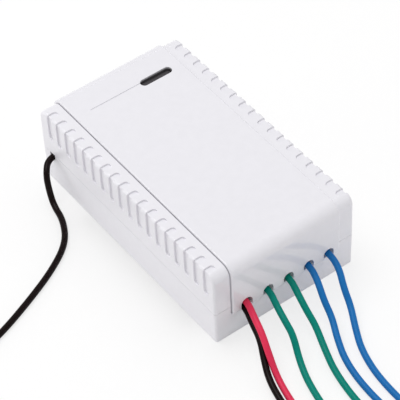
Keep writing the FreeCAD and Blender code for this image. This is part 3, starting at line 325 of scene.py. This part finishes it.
# housing pieces with softened edges, made from merged copies of the CAD meshes
mergeDistance = 0.002 * mm
flatAngle = math.radians(0.5)
sharpAngle = math.radians(30)
softEdges = {
    "base_tray": {"piece": "baseTray", "body": "housing", "width": 0.12 * mm},
    "side_frame": {"piece": "sideFrame", "body": "housing", "width": 0.06 * mm,
                   "plain": (15.4 * mm, 15.7 * mm)},     # the seam that the camera looks across stays sharp
    "top_cover": {"piece": "topCover", "body": "cover", "width": 0.05 * mm, "finish": "cover_plastic",
                  "seated": 0.1 * mm},     # pushed over to the right within its gap, as photographed
    "indicator_lens": {"piece": "indicatorLens", "body": "cover", "width": 0.1 * mm, "seated": 0.1 * mm},
}


def softenedCopy(nodeName, piece, body, width, finish=None, plain=None, seated=0, segments=2):
    bm = bmesh.new()
    bm.from_mesh(frame["nodes"][nodeName].data)
    bmesh.ops.translate(bm, vec=(seated, 0, 0), verts=bm.verts[:])
    bmesh.ops.remove_doubles(bm, verts=bm.verts[:], dist=mergeDistance)
    bmesh.ops.dissolve_limit(bm, angle_limit=flatAngle, verts=bm.verts[:], edges=bm.edges[:], delimit=set())
    chosen = []
    for edge in bm.edges:
        if len(edge.link_faces) != 2 or edge.calc_face_angle() <= sharpAngle:
            continue
        if plain and all(plain[0] < vert.co.x < plain[1] for vert in edge.verts):
            edge.smooth = False
        else:
            chosen.append(edge)
    bmesh.ops.bevel(bm, geom=chosen, offset=width, offset_type="OFFSET", affect="EDGES",
                    segments=segments, profile=0.5, material=-1, clamp_overlap=True)
    for face in bm.faces:
        face.smooth = True
    mesh = bpy.data.meshes.new(piece)
    bm.to_mesh(mesh)
    bm.free()
    made = bpy.data.objects.new(piece, mesh)
    bpy.context.scene.collection.objects.link(made)
    normals = made.modifiers.new("normals", "WEIGHTED_NORMAL")
    normals.keep_sharp = True
    mesh.materials.append(materials[finish or slotOf[nodeName]])
    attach(made, body)
    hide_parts(nodeName)


for nodeName, settings in softEdges.items():
    softenedCopy(nodeName, **settings)
print("housing pieces softened")


# leads and antenna, close to the routes of the solids that they replace
wires = {
    "diameter": 1.6 * mm,
    "sides": 6,
    "smoothness": 16,
    "order": 3,
    "frontFace": -35.15,     # this and the next three in millimetres, like the routes
    "inside": 3.2,
    "restHeight": 0.8,
    "antennaWall": 1.6,
}
leads = {     # each point of a route: out from the front face, to the right, and the height, None at rest
    "lead_black": {
        "start": (-11.8, 7.85),
        "length": 0.095,
        "route": ((0.3, -0.2, 7.6), (4.4, -1.56, 7.22), (8.7, -2.59, 6.24), (12.5, -4.54, 4.04),
                  (16.63, -6.31, 2.26), (22.45, -7.5, 1.38), (31.0, -8.7, None), (43.0, -10.1, None),
                  (57.0, -10.5, None), (70.0, -11.5, None), (80.5, -13.2, None), (88.5, -14.0, None)),
    },
    "lead_red": {
        "start": (-11.5, 9.5),
        "length": 0.093,
        "route": ((0.3, 0.0, 9.4), (4.4, -1.36, 9.17), (8.7, -2.44, 8.24), (12.5, -3.59, 5.84),
                  (16.63, -4.56, 2.26), (22.45, -5.8, 1.38), (31.5, -7.0, None), (43.5, -8.3, None),
                  (56.5, -8.6, None), (69.0, -9.6, None), (79.0, -11.2, None), (86.5, -11.8, None)),
    },
    "lead_green_1": {
        "start": (-5.35, 8.9),
        "length": 0.094,
        "route": ((0.3, 0.15, 8.75), (4.3, -1.01, 8.17), (8.39, -1.89, 7.34), (11.89, -2.19, 5.59),
                  (16.53, -4.06, 2.26), (22.45, -6.05, 1.38), (31.5, -7.65, None), (44.0, -8.15, None),
                  (57.5, -7.2, None), (70.0, -7.1, None), (80.0, -8.4, None), (87.5, -8.7, None)),
    },
    "lead_green_2": {
        "start": (0.5, 8.9),
        "length": 0.096,
        "route": ((0.3, 0.2, 8.75), (4.3, -0.71, 7.77), (8.39, -1.44, 6.14), (11.89, -1.59, 4.14),
                  (17.03, -3.21, 2.26), (23.45, -5.25, 1.38), (33.0, -6.5, None), (45.5, -6.3, None),
                  (59.0, -4.8, None), (71.0, -4.4, None), (81.5, -5.3, None), (89.5, -5.4, None)),
    },
    "lead_blue_1": {
        "start": (6.35, 8.9),
        "length": 0.096,
        "route": ((0.3, 0.2, 8.75), (4.3, -0.81, 8.07), (8.39, -2.19, 5.79), (11.89, -2.64, 3.29),
                  (16.53, -4.96, 2.26), (22.45, -7.3, 1.38), (31.5, -8.5, None), (44.5, -8.2, None),
                  (58.0, -5.8, None), (70.5, -3.8, None), (81.0, -3.4, None), (89.0, -4.1, None)),
    },
    "lead_blue_2": {
        "start": (12.2, 8.9),
        "length": 0.096,
        "route": ((0.3, 0.2, 8.75), (4.3, -0.41, 8.17), (8.39, -2.19, 5.79), (11.89, -3.04, 3.39),
                  (16.73, -5.66, 2.26), (22.45, -8.4, 1.38), (31.0, -10.1, None), (43.5, -10.2, None),
                  (56.5, -7.8, None), (69.0, -4.6, None), (79.5, -2.8, None), (87.5, -2.8, None)),
    },
}
antenna = {
    "exit": (-20.0, 30.64, 8.85),
    "length": 0.081,
    "route": ((-1.4, 0.0, 8.95), (-4.2, -3.15, 8.05), (-4.7, -4.55, 3.9), (-5.25, -7.0, None),
              (-6.2, -12.4, None), (-9.8, -18.8, None), (-17.3, -23.9, None),
              (-26.9, -28.4, None), (-37.6, -32.7, None), (-48.9, -35.4, None), (-60.2, -36.3, None)),
}


def layWire(piece, points, nodeName):
    curve = bpy.data.curves.new(piece, "CURVE")
    curve.dimensions = "3D"
    curve.bevel_depth = wires["diameter"] / 2
    curve.bevel_resolution = wires["sides"]
    curve.resolution_u = wires["smoothness"]
    curve.use_fill_caps = True
    spline = curve.splines.new("NURBS")
    spline.points.add(len(points) - 1)
    for point, place in zip(spline.points, points):
        point.co = (*(part * mm for part in place), 1)
    spline.order_u = wires["order"]
    spline.use_endpoint_u = True
    curve.materials.append(materials[slotOf[nodeName]])
    made = bpy.data.objects.new(piece, curve)
    bpy.context.scene.collection.objects.link(made)
    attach(made, "housing")
    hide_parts(nodeName)
    return made


def resting(height):
    return wires["restHeight"] if height is None else height


for nodeName, settings in leads.items():
    x, z = settings["start"]
    front = wires["frontFace"]
    points = [(x, front + wires["inside"], z)]
    points += [(x + side, front - out, resting(height)) for out, side, height in settings["route"]]
    words = nodeName.split("_")
    piece = words[0] + "".join(word.capitalize() for word in words[1:])
    lead = layWire(piece, points, nodeName)

exitX, exitY, exitZ = antenna["exit"]
points = [(exitX + wires["antennaWall"], exitY, exitZ)]
points += [(exitX + x, exitY + y, resting(height)) for x, y, height in antenna["route"]]
antennaWire = layWire("antennaWire", points, "antenna_wire")
print("leads and antenna laid")
